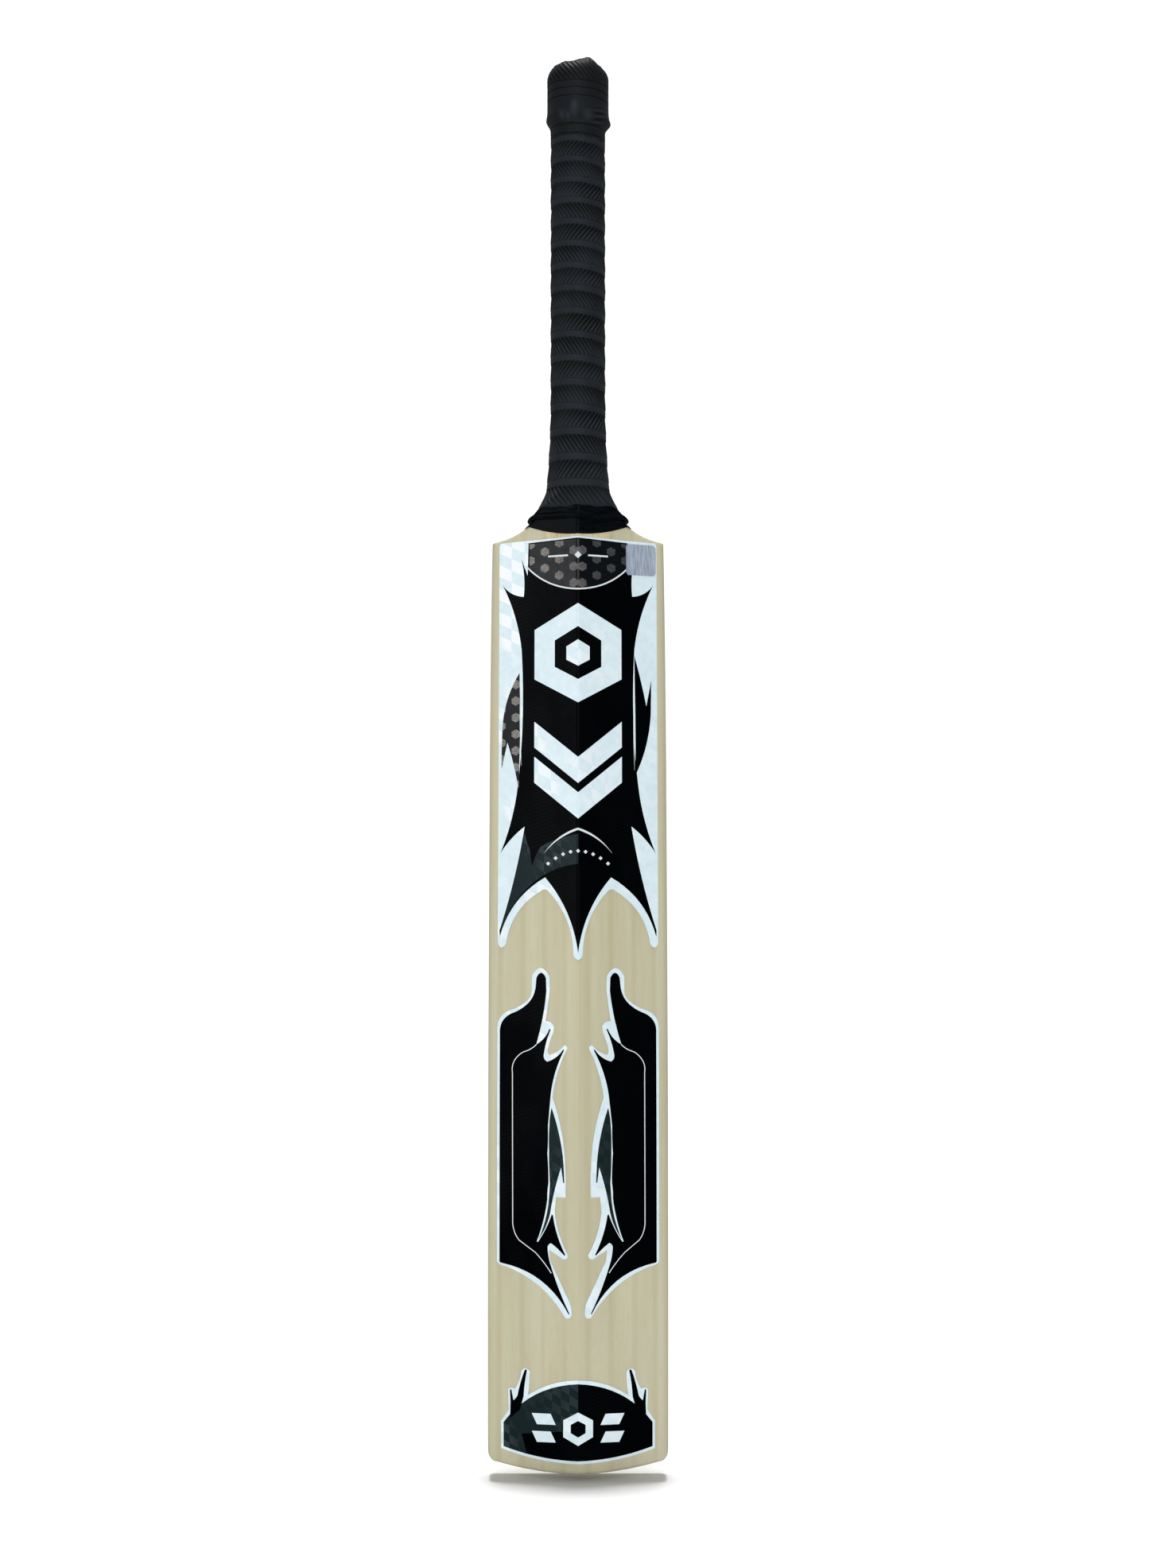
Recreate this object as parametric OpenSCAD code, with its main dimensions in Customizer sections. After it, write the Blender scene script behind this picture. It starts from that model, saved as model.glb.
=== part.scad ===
// Cricket bat: a willow blade with a spliced cane handle, twine binding, a rubber grip,
// two bands of tape and five thin stickers on the back.
// +Z runs up the handle, +Y faces the bowler (the flat hitting face), -Y is the ridged back.
// The origin lies on the handle's axis, where the middle of the grip is held.
// Heights named here are measured up from the toe.

/* [Overall] */
// Length from the toe to the end of the handle
bat_length = 850; // [846:1:860]
// Width of the blade
blade_width = 106; // [102:1:108]
// Height of the point where the grip is held
hold_height = 700; // [660:1:740]

/* [Blade] */
// Depth of the hitting face in front of the handle's axis
face_depth = 16; // [15.5:0.5:18]
// Depth of the spine behind the axis, at the swell
spine_depth = 38; // [34:0.5:40]
// Height of the swell, where the spine is deepest
swell_height = 230; // [200:5:260]
// Height of the square shoulders
shoulder_height = 552; // [548:1:554]
// Rise of the toe from its middle to its corners
toe_sag = 6; // [3:0.5:8]
// Rounding of the long edges
edge_round = 4; // [2:0.5:5]

/* [Handle] */
// Diameter of the turned cane
handle_d = 29; // [28:0.5:30]
// Height of the splice's tip inside the blade
splice_tip_height = 432; // [420:1:450]
// Width of the splice at its tip
splice_tip_w = 8; // [6:0.5:10]
// Width of the splice where it leaves the blade
splice_top_w = 40; // [38:0.5:42]
// Thickness of each rubber spring strip
spring_t = 1.5; // [1:0.1:2]
// Width of the middle cane in each layer
middle_cane_w = 10; // [8:0.5:11]

/* [Binding and grip] */
// Thickness of the twine binding
twine_t = 0.8; // [0.6:0.1:1]
// Wall of the rubber grip
grip_t = 1.5; // [1.2:0.1:1.8]
// Thickness of the short rubber sleeve under the end of the grip
sleeve_t = 2.6; // [2:0.1:3]
// Height of the grip's lower end
grip_end_height = 566; // [565:0.5:568]
// Pitch of the ribbed bands round the grip
band_pitch = 13.9; // [12:0.1:15]
// How far the grip stands up beyond the end of the cane
grip_overhang = 4.5; // [3:0.5:5]

/* [Tapes and stickers] */
// Thickness of the tapes
tape_t = 0.5; // [0.4:0.1:0.6]
// Thickness of the stickers
sticker_t = 0.25; // [0.2:0.05:0.4]

/* [Hidden] */
$fn = 96;
// Half the size of the blocks that cut the pieces, larger than the bat is wide
far = 80;

// The handle's layers from the back to the face, and the canes across each of them
LAYERS = ["back", "mid_back", "mid_face", "face"];
COLUMNS = ["left", "middle", "right"];
SPRINGS = ["back", "middle", "face"];

willow = "#d9cfa6";
cane = "#c9a466";
thread = "#d8cfb4";
rubber = "#25282b";
vinyl = "#111417";
pale_vinyl = "#d3e7ee";
foil = "#8fa3b8";

half_w = blade_width / 2;
handle_r = handle_d / 2;
cane_top = bat_length - grip_overhang;

// Back of the blade: height, depth of the spine, slope of each side away from the spine
back_form = [
  [0, 0.26 * spine_depth, 0.13],
  [40, 0.47 * spine_depth, 0.21],
  [0.52 * swell_height, 0.82 * spine_depth, 0.36],
  [swell_height, spine_depth, 0.45],
  [350, 0.84 * spine_depth, 0.435],
  [450, 0.67 * spine_depth, 0.42],
  [530, 0.5 * spine_depth, 0.37],
  [565, 16.5, 0.33],
  [600, 16, 0],
  [bat_length, 16, 0],
];
station_step = 20;
stations = concat([for (h = [0 : station_step : 600]) h], [bat_length + 20]);

// The face is flat up to this height, then eased back towards the handle
face_end_height = 540;
face_ease = 1;

// The shoulders are one elliptical hollow, from the handle out to the blade's corners
hollow_top = 590;
hollow_r = 54;
neck_r = handle_r + 2;
taper_length = 50;

// Top of the grip, where the sleeve under it makes it thicker
sleeve_height = 812;
sleeve_slope = 6;
sleeve_top = bat_length - 8;

// ---- curves ----

function span(table, h, i = 0) =
  (i >= len(table) - 2 || h < table[i + 1][0]) ? i : span(table, h, i + 1);

function rise(table, i, j, c) = (table[j][c] - table[i][c]) / (table[j][0] - table[i][0]);

// Value of column c at height h, on a smooth curve through the table's rows
function along(table, h, c) =
  let (
    i = span(table, h),
    d = table[i + 1][0] - table[i][0],
    u = (h - table[i][0]) / d,
    m0 = d * rise(table, max(i - 1, 0), i + 1, c),
    m1 = d * rise(table, i, min(i + 2, len(table) - 1), c)
  )
  (2 * u ^ 3 - 3 * u ^ 2 + 1) * table[i][c] + (u ^ 3 - 2 * u ^ 2 + u) * m0
  + (3 * u ^ 2 - 2 * u ^ 3) * table[i + 1][c] + (u ^ 3 - u ^ 2) * m1;

function spine(h) = h > 600 ? 16 : along(back_form, h, 1);
function slope(h) = h > 600 ? 0 : along(back_form, h, 2);
function width_at(h) = half_w - (h > 400 ? min((h - 400) / 150, 1) ^ 2 : 0);
function face_at(h) = face_depth - (h > face_end_height ? face_ease : 0);

// An outline runs anticlockwise as a list of [x, height, bow]: bow is how far the side that
// follows swells outwards from its straight line
function bowed(a, b, bow, n = 6) =
  let (
    d = [b[0] - a[0], b[1] - a[1]],
    outward = [d[1], -d[0]] / norm(d)
  )
  bow == 0 ? [[a[0], a[1]]]
  : [for (i = [0 : n - 1]) let (u = i / n) [a[0], a[1]] + u * d + 4 * u * (1 - u) * bow * outward];

function outline(rows) =
  [for (i = [0 : len(rows) - 1]) each bowed(rows[i], rows[(i + 1) % len(rows)], rows[i][2])];

// Closes a symmetrical outline from its right-hand half, which runs from the bottom of the
// centre line up to the top of it
function both_sides(rows) =
  let (top = len(rows) - 1)
  concat(
    [for (i = [0 : top - 1]) rows[i]],
    [[0, rows[top][1], rows[top - 1][2]]],
    [for (i = [top - 1 : -1 : 1]) [-rows[i][0], rows[i][1], rows[i - 1][2]]]);

// ---- solids that the pieces are cut from ----

// Closed skin through equal sections, each a list of [x, y]
module loft(sections, heights) {
  n = len(sections[0]);
  last = len(sections) - 1;
  points = [for (j = [0 : last], p = sections[j]) [p[0], p[1], heights[j]]];
  sides = [
    for (j = [0 : last - 1], i = [0 : n - 1])
      let (
        a = j * n + i,
        b = j * n + (i + 1) % n,
        c = b + n,
        d = a + n
      )
      each abs(points[a][0]) > abs(points[b][0])
        ? [[a, d, c], [a, c, b]]
        : [[a, d, b], [b, d, c]]
  ];
  ends = [[for (i = [0 : n - 1]) i], [for (i = [n - 1 : -1 : 0]) last * n + i]];
  polyhedron(points = points, faces = concat(sides, ends), convexity = 6);
}

// Section of the blade at height h, grown outwards by g, from the face round to the spine
function half_section(h, g) =
  let (
    w = width_at(h) + g,
    f = face_at(h) + g,
    s = spine(h) + g,
    k = slope(h),
    r = edge_round,
    edge = k * w - s
  )
  [
    [w - r, f],
    [w - 0.3 * r, f - 0.3 * r],
    [w, f - r],
    [w, edge + r],
    [w - 0.25 * r, edge + 0.15 * r],
    [w - r, k * (w - r) - s],
  ];

function mirrored(rows) = [for (i = [len(rows) - 1 : -1 : 0]) [-rows[i][0], rows[i][1]]];

module blade_form(g = 0) {
  sections = [
    for (h = stations)
      let (half = [for (p = half_section(h, g)) [p[0], -p[1]]])
      concat([[0, spine(h) + g]], mirrored(half), half)
  ];
  mirror([0, 1, 0]) loft(sections, stations);
}

// Radius profile of the handle and the shoulders, grown outwards by g
function neck_profile(g) = concat(
  [[0, -far], [far, -far], [far, shoulder_height + g]],
  [
    for (t = [90 : -9 : 0])
      let (
        a = hollow_r - neck_r,
        b = hollow_top - shoulder_height,
        normal = [cos(t) / a, sin(t) / b]
      )
      [hollow_r - a * cos(t), hollow_top - b * sin(t)] + g * normal / norm(normal)
  ],
  [
    for (u = [0.8 : -0.2 : 0])
      [handle_r + 2 * u ^ 2 + g, hollow_top + taper_length * (1 - u)]
  ]);

module turned(g = 0, top = cane_top) {
  rotate_extrude() polygon(concat(neck_profile(g), [[handle_r + g, top], [0, top]]));
}

// Everything inside the wooden surface of the bat, grown outwards by g
module bat_form(g = 0) {
  intersection() {
    blade_form(g);
    turned(g);
  }
}

// Extrudes an outline in x and height through the whole thickness
module through(points) {
  rotate([90, 0, 0]) linear_extrude(height = 2 * far, center = true) polygon(points);
}

module between(low, high) {
  translate([-far, -far, low]) cube([2 * far, 2 * far, high - low]);
}

// Moves a piece from heights above the toe to the part's own frame
module placed(tint) {
  color(tint) translate([0, 0, -hold_height]) children();
}

// ---- blade ----

toe_corner = 6;

module toe_and_sides() {
  flat = half_w - toe_corner;
  right = concat(
    [for (u = [0 : 0.1 : 1]) [u * flat, toe_sag * u ^ 2]],
    [for (a = [30 : 15 : 90]) [flat + toe_corner * sin(a), toe_sag + toe_corner * (1 - cos(a))]],
    [[far, 40], [far, bat_length]]);
  through(concat(right, mirrored(right)));
}

// The V of the splice: everything inside it belongs to the handle
splice_top_height = 562;

function splice_half_w(h) =
  splice_tip_w / 2 + (splice_top_w - splice_tip_w) / 2
                     * (h - splice_tip_height) / (splice_top_height - splice_tip_height);

module splice() {
  right = [
    for (h = [splice_tip_height, hollow_top]) [splice_half_w(h), h],
    [splice_half_w(hollow_top), bat_length]
  ];
  through(concat(right, mirrored(right)));
}

module blade() {
  placed(willow) difference() {
    intersection() {
      blade_form();
      turned();
      toe_and_sides();
    }
    splice();
  }
}

// ---- handle ----

// Planes between the layers, and between the canes of a layer
layer_bounds = [-far, -handle_d / 4 - 1, 0, handle_d / 4 + 1, far];
column_bounds = [-far, -middle_cane_w / 2, middle_cane_w / 2, far];
spring_end_height = 500;

module spring_slab(i) {
  translate([-far, layer_bounds[i + 1] - spring_t / 2, spring_end_height])
    cube([2 * far, spring_t, bat_length]);
}

module handle_cell(layer, column) {
  x = column_bounds[column];
  y = layer_bounds[layer];
  translate([x, y, splice_tip_height - 10])
    cube([column_bounds[column + 1] - x, layer_bounds[layer + 1] - y, bat_length]);
}

module cane_piece(layer, column) {
  placed(cane) difference() {
    intersection() {
      bat_form();
      splice();
      handle_cell(layer, column);
    }
    for (i = [0 : 2]) spring_slab(i);
  }
}

module spring_strip(i) {
  placed(rubber) intersection() {
    bat_form();
    splice();
    spring_slab(i);
  }
}

// ---- binding, sleeve and grip ----

module binding_form() {
  bat_form(twine_t);
}

module twine_binding() {
  placed(thread) difference() {
    intersection() {
      binding_form();
      between(grip_end_height, cane_top);
    }
    bat_form();
  }
}

module sleeve_form(g = 0) {
  r = handle_r + twine_t;
  rotate_extrude() polygon([
    [0, sleeve_height - g], [r + g, sleeve_height - g - sleeve_slope],
    [r + sleeve_t + g, sleeve_height - g], [r + sleeve_t + g, sleeve_top], [0, sleeve_top],
  ]);
}

module top_sleeve() {
  placed(rubber) difference() {
    sleeve_form();
    cylinder(r = handle_r + twine_t, h = bat_length + far);
  }
}

grip_g = twine_t + grip_t;
groove_depth = 0.4;
groove_w = 3.8;

// Outer skin of the grip: the flared lower end, and the thicker rounded top
module grip_form() {
  lip = 7;
  r_top = handle_r + grip_g + sleeve_t;
  union() {
    intersection() {
      blade_form(grip_g);
      turned(grip_g, cane_top);
    }
    rotate_extrude() polygon(concat(
      [
        [0, sleeve_height - sleeve_slope - 2], [handle_r + grip_g, sleeve_height - sleeve_slope - 1],
        [r_top, sleeve_height],
      ],
      [for (a = [0 : 15 : 90]) [r_top - lip + lip * cos(a), bat_length - lip + lip * sin(a)]],
      [[0, bat_length]]));
  }
}

module band_grooves() {
  r = handle_r + grip_g;
  count = floor((sleeve_height - hollow_top - taper_length) / band_pitch);
  rotate_extrude() for (i = [0 : count - 1])
    translate([r - groove_depth, sleeve_height - 2 * sleeve_slope - groove_w - i * band_pitch])
      square([far, groove_w]);
}

module grip() {
  open_r = handle_r - 4;
  placed(rubber) difference() {
    grip_form();
    between(0, grip_end_height);
    bat_form(twine_t);
    sleeve_form();
    cylinder(r = open_r, h = bat_length + far);
    band_grooves();
  }
}

// ---- tapes ----

collar_g = tape_t + 0.1;
end_tape_drop = 2.5;
end_tape_rise = 6;

// Tape wound over the lower end of the grip and rolled in beneath it
module grip_end_tape() {
  placed(vinyl) difference() {
    intersection() {
      bat_form(grip_g + tape_t);
      between(grip_end_height - end_tape_drop, grip_end_height + end_tape_rise);
    }
    intersection() {
      bat_form(grip_g);
      between(grip_end_height, bat_length);
    }
    bat_form(collar_g);
  }
}

// Collar of tape between the grip and the shoulders, its lower edge dipping over the spine
module collar_tape() {
  dip_height = 554;
  dip_r = 78;
  placed(vinyl) difference() {
    intersection() {
      bat_form(collar_g);
      between(dip_height - 1, grip_end_height);
      translate([0, 0, dip_height + dip_r]) rotate([90, 0, 0])
        cylinder(r = dip_r, h = 2 * far, center = true);
    }
    bat_form();
  }
}

// ---- stickers ----

// Thin skin over the two slopes of the back, from g to g + sticker_t outside the wood
module back_skin(low, high, g = 0) {
  heights = [for (h = stations) if (h > low - station_step && h < high + station_step) h];
  sections = [
    for (h = heights)
      let (w = width_at(h) - edge_round, s = spine(h) + g, y = slope(h) * w - s, t = sticker_t)
      [[-w, y - t], [0, -s - t], [w, y - t], [w, y], [0, -s], [-w, y]]
  ];
  loft(sections, heights);
}

module sticker(points, low, high, tint) {
  placed(tint) intersection() {
    back_skin(low, high);
    through(points);
  }
}

// Main label: straight sides, and three spikes at its lower end
main_low = 300;
main_high = 552.5;
main_label = both_sides([
  [0, main_low, 0.8], [2.7, 303.5, -3.8], [17.8, 340.5, -0.7], [21.5, 340.5, -4.5],
  [42.5, 309.5, 0.5], [45.5, 307, 0.6], [47.5, 311, 0], [47.5, 549.5, 0.3], [46, 551, 0],
  [0, main_high, 0],
]);

module back_sticker() {
  sticker(outline(main_label), main_low, main_high, pale_vinyl);
}

// Side label for the right-hand slope: a knob at the top, and spikes towards the spine
side_low = 92;
side_high = 296;
side_label = [
  [3.8, 95.5, 1.2], [7.5, 93.5, -4.2], [42, 121.5, 0.6], [47.5, 124, 0], [47.5, 258, 3],
  [39, 270.8, -0.5], [31, 275.2, -1], [27.2, 281.5, 0], [27, 290.5, 4.7], [16.8, 290.5, 0.3],
  [16.8, 279, 0], [18.9, 264.4, 1], [14, 261.5, 0], [14.3, 258, -0.3], [17.6, 248, -0.5],
  [16.5, 245, -0.8], [8, 250.8, 0.5], [6.2, 249, -1.3], [14.8, 220.5, 1.3], [7.5, 184, 0.2],
  [7.2, 163.2, 0], [12.6, 163.2, 0], [13.5, 155, -1.4], [5.9, 130.2, 1], [8.6, 127.4, 0],
  [16.6, 132.4, -0.2], [16, 126, 0], [4.6, 102, 0.2],
];

module side_sticker() {
  sticker(outline(side_label), side_low, side_high, vinyl);
}

module side_sticker_left() {
  mirror([1, 0, 0]) side_sticker();
}

module side_sticker_right() {
  side_sticker();
}

// Toe label: a dome with two small horns each side
toe_low = 7;
toe_high = 62;
toe_label = both_sides([
  [0, toe_low, 2], [45, 15, 0], [45, 31, 0], [40.5, 38, 0], [41, 49.5, 0.5], [38.5, 51, 0],
  [36.8, 50.4, -0.8], [33.2, 61, 1.5], [28.2, 61, 0.3], [29.3, 46.8, 2.3], [0, 57, 0],
]);

module toe_sticker() {
  sticker(outline(toe_label), toe_low, toe_high, vinyl);
}

// Seal: a small rounded square on top of the main label's corner
seal_size = [18, 19];
seal_corner = 2;
seal_at = [29, 530.5];

module seal_sticker() {
  r = seal_corner;
  placed(foil) intersection() {
    back_skin(seal_at[1], seal_at[1] + seal_size[1], sticker_t);
    translate([seal_at[0], 0, seal_at[1]]) rotate([90, 0, 0])
      linear_extrude(height = 2 * far, center = true) union() {
        translate([r, 0]) square([seal_size[0] - 2 * r, seal_size[1]]);
        translate([0, r]) square([seal_size[0], seal_size[1] - 2 * r]);
        for (x = [r, seal_size[0] - r], z = [r, seal_size[1] - r]) translate([x, z]) circle(r = r, $fn = 32);
      }
  }
}

blade();
for (i = [0 : 3], j = [0 : 2])
  cane_piece(i, j);
for (i = [0 : 2])
  spring_strip(i);
twine_binding();
top_sleeve();
grip();
grip_end_tape();
collar_tape();
back_sticker();
side_sticker_left();
side_sticker_right();
toe_sticker();
seal_sticker();
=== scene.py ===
"""Cricket bat seen from its ridged back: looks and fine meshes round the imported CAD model.

The bat's lengths are millimetres and its heights are measured up from the toe, until
place() turns them into the frame's metres. Camera, lights, floor and materials use metres.
+Y is the hitting face, -Y the ridged back.
"""
import math
import bpy
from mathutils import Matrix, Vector
from mathutils.geometry import delaunay_2d_cdt


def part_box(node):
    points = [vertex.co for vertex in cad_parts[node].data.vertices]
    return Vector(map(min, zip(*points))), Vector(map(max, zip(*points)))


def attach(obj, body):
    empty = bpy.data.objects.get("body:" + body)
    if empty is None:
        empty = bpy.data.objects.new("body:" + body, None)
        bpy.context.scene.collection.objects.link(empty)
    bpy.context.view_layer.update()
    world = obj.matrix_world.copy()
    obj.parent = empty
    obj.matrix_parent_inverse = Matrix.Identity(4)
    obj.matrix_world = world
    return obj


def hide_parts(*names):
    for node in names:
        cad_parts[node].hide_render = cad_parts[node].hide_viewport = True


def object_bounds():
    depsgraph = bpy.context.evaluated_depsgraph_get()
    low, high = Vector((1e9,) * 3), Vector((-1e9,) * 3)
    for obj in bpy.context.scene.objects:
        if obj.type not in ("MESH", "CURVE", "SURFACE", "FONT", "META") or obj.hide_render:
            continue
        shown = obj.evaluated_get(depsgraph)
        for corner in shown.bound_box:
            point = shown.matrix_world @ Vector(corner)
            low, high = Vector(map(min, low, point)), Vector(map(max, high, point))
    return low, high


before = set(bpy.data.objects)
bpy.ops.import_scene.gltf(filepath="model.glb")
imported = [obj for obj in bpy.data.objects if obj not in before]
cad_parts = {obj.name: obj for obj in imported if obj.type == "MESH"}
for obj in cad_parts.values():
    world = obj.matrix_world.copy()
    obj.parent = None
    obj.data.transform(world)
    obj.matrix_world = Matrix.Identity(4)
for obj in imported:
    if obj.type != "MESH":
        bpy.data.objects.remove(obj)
cad_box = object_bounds()

MM = 0.001
TOE = cad_box[0][2]
BODY = "root"

# ---- sizes, as in the CAD model ----

BAT_LENGTH = (cad_box[1][2] - cad_box[0][2]) / MM
HALF_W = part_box("blade")[1][0] / MM
FACE_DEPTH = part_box("blade")[1][1] / MM
SPINE_DEPTH = 38.0
EDGE_ROUND = 4.0
TOE_SAG = 6.0
TOE_CORNER = 6.0
FACE_END, FACE_EASE, FACE_EASE_LENGTH = 540.0, 1.0, 20.0
WAIST_FROM, WAIST_LENGTH, WAIST_IN = 400.0, 150.0, 1.0
RIDGE_SOFTNESS = 0.45

SHOULDER, HOLLOW_TOP, HOLLOW_R = 552.0, 590.0, 54.0
HANDLE_R, NECK_R, TAPER = 14.5, 16.5, 50.0
NECK_DEPTH, BACK_END, NECK_ROUND_FROM = 16.0, 600.0, 615.0
SPLICE_TIP, SPLICE_TIP_HALF_W = 432.0, 4.0
SPLICE_TOP, SPLICE_TOP_HALF_W = 562.0, 20.0

TWINE, GRIP_WALL, SLEEVE = 0.8, 1.5, 2.6
GRIP_SKIN = TWINE + GRIP_WALL
GRIP_END = 566.0
SLEEVE_LOW, SLEEVE_SLOPE = 812.0, 6.0
TAPE = 0.5
STICKER, GLUE_GAP = 0.25, 0.01

# Back of the blade: height, depth of the spine, slope of each side away from the spine
BACK_FORM = [
    (0, 0.26 * SPINE_DEPTH, 0.13), (40, 0.47 * SPINE_DEPTH, 0.21),
    (120, 0.82 * SPINE_DEPTH, 0.36), (230, SPINE_DEPTH, 0.45),
    (350, 0.84 * SPINE_DEPTH, 0.435), (450, 0.67 * SPINE_DEPTH, 0.42),
    (530, 0.5 * SPINE_DEPTH, 0.37), (565, 16.5, 0.33), (BACK_END, NECK_DEPTH, 0.0),
    (850, NECK_DEPTH, 0.0),
]


def place(x, y, h):
    """A point of the frame, in metres."""
    return (x * MM, y * MM, TOE + h * MM)


def clamp(value, low=0.0, high=1.0):
    return max(low, min(high, value))


def smooth(value):
    t = clamp(value)
    return t * t * (3 - 2 * t)


# ---- the bat's form ----

def along(h, column):
    """Column of BACK_FORM at height h, on a smooth curve through its rows."""
    rows = BACK_FORM
    i = 0
    while i < len(rows) - 2 and h >= rows[i + 1][0]:
        i += 1

    def rise(a, b):
        return (rows[b][column] - rows[a][column]) / (rows[b][0] - rows[a][0])

    d = rows[i + 1][0] - rows[i][0]
    u = (h - rows[i][0]) / d
    m0 = d * rise(max(i - 1, 0), i + 1)
    m1 = d * rise(i, min(i + 2, len(rows) - 1))
    return ((2 * u**3 - 3 * u**2 + 1) * rows[i][column] + (u**3 - 2 * u**2 + u) * m0
            + (3 * u**2 - 2 * u**3) * rows[i + 1][column] + (u**3 - u**2) * m1)


def spine(h):
    """How far the spine stands behind the handle's axis."""
    return NECK_DEPTH if h > BACK_END else along(max(h, 0), 1)


def slope(h):
    """Rise of the back per millimetre away from the spine."""
    return 0.0 if h > BACK_END else along(max(h, 0), 2)


def half_width(h):
    """The blade narrows a little towards its shoulders."""
    return HALF_W - WAIST_IN * clamp((h - WAIST_FROM) / WAIST_LENGTH) ** 2


def face_y(h):
    return FACE_DEPTH - FACE_EASE * clamp((h - FACE_END) / FACE_EASE_LENGTH)


def back_y(x, h):
    """Back surface of the blade away from its rounded edges; the ridge is slightly rounded."""
    return slope(h) * math.hypot(x, RIDGE_SOFTNESS) - spine(h)


def toe_height(x):
    """Height of the toe's rounded end at x."""
    flat = HALF_W - TOE_CORNER
    if abs(x) <= flat:
        return TOE_SAG * (x / flat) ** 2
    across = clamp((abs(x) - flat) / TOE_CORNER)
    return TOE_SAG + TOE_CORNER * (1 - math.sqrt(1 - across * across))


def hollow_height(r):
    """Height of the shoulders' hollow at distance r from the handle's axis."""
    if r >= HOLLOW_R:
        return SHOULDER
    across = clamp((HOLLOW_R - r) / (HOLLOW_R - NECK_R))
    return HOLLOW_TOP - (HOLLOW_TOP - SHOULDER) * math.sqrt(1 - across * across)


def splice_height(x):
    """Height of the V cut for the handle at x."""
    rate = (SPLICE_TOP - SPLICE_TIP) / (SPLICE_TOP_HALF_W - SPLICE_TIP_HALF_W)
    return SPLICE_TIP + rate * max(abs(x) - SPLICE_TIP_HALF_W, 0)


def neck_radius(h):
    """Radius of the turned wood at height h."""
    if h >= HOLLOW_TOP:
        return HANDLE_R + 2 * clamp((HOLLOW_TOP + TAPER - h) / TAPER) ** 2
    down = clamp((HOLLOW_TOP - h) / (HOLLOW_TOP - SHOULDER))
    return HOLLOW_R - (HOLLOW_R - NECK_R) * math.sqrt(1 - down * down)


def grown_radius(h, g):
    """The turned surface's radius at height h after it is grown outwards by g."""
    at = h
    for _ in range(3):
        lean = neck_radius(at + 0.5) - neck_radius(at - 0.5)
        at = h + g * lean / math.hypot(1, lean)
    return neck_radius(at) + g / math.hypot(1, lean)


def skin_radius(angle, h, g, turned=None):
    """Distance from the handle's axis to the bat's surface grown by g, above the shoulders."""
    c, s = math.cos(angle), math.sin(angle)
    r = grown_radius(h, g) if turned is None else turned
    if h > NECK_ROUND_FROM:
        return r
    room = 0.2 * max(h - BACK_END, 0)
    if s > 0:
        limit = (face_y(h) + g) / s + room
    else:
        across = slope(h) * math.hypot(c, 0.04)
        limit = (spine(h) + g) / max(-s + across, 0.05) + room
    blend = 1.2
    overlap = clamp(blend - abs(r - limit), 0, blend)
    return min(r, limit) - overlap * overlap / (4 * blend)


# ---- meshes ----

def add_piece(name, points, faces, paints, face_paints=None, normals=None, sharp=40):
    """A mesh from points in millimetres, which rides on the bat."""
    mesh = bpy.data.meshes.new(name)
    mesh.from_pydata([place(*p) for p in points], [], faces)
    for paint in paints:
        mesh.materials.append(paint)
    if face_paints:
        mesh.polygons.foreach_set("material_index", face_paints)
    mesh.polygons.foreach_set("use_smooth", [True] * len(mesh.polygons))
    mesh.validate()
    if normals:
        mesh.normals_split_custom_set_from_vertices(normals)
    else:
        mesh.set_sharp_from_angle(angle=math.radians(sharp))
    piece = bpy.data.objects.new(name, mesh)
    bpy.context.scene.collection.objects.link(piece)
    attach(piece, BODY)
    return piece


def closed_tube(rings, wrap=True):
    """Faces of a grid of rings of equal length: each ring closes on itself, and the last
    ring joins the first when wrap is set."""
    n = len(rings[0])
    count = len(rings)
    faces = []
    for j in range(count if wrap else count - 1):
        k = (j + 1) % count
        for i in range(n):
            m = (i + 1) % n
            faces.append((j * n + i, j * n + m, k * n + m, k * n + i))
    points = [p for ring in rings for p in ring]
    return points, faces


# ---- blade ----

SPLICE_WALL_HALF_W = SPLICE_TOP_HALF_W + 1.2
SIDE_STEPS = 70


def edge_positions():
    """How the blade is sliced from its ridge to its edge: (x, None) on the flat of the side,
    then (None, angle) round the edge."""
    ridge = [0, 0.3, 0.7, 1.3, 2.5]
    splice = [SPLICE_TIP_HALF_W + i for i in range(17)] + [20.4]
    flat = [21.3, 22.2, 24.5, 28, 32, 36, 40, 44, 47]
    return [(x, None) for x in ridge + splice + flat] + [(None, a) for a in range(0, 91, 10)]


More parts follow.
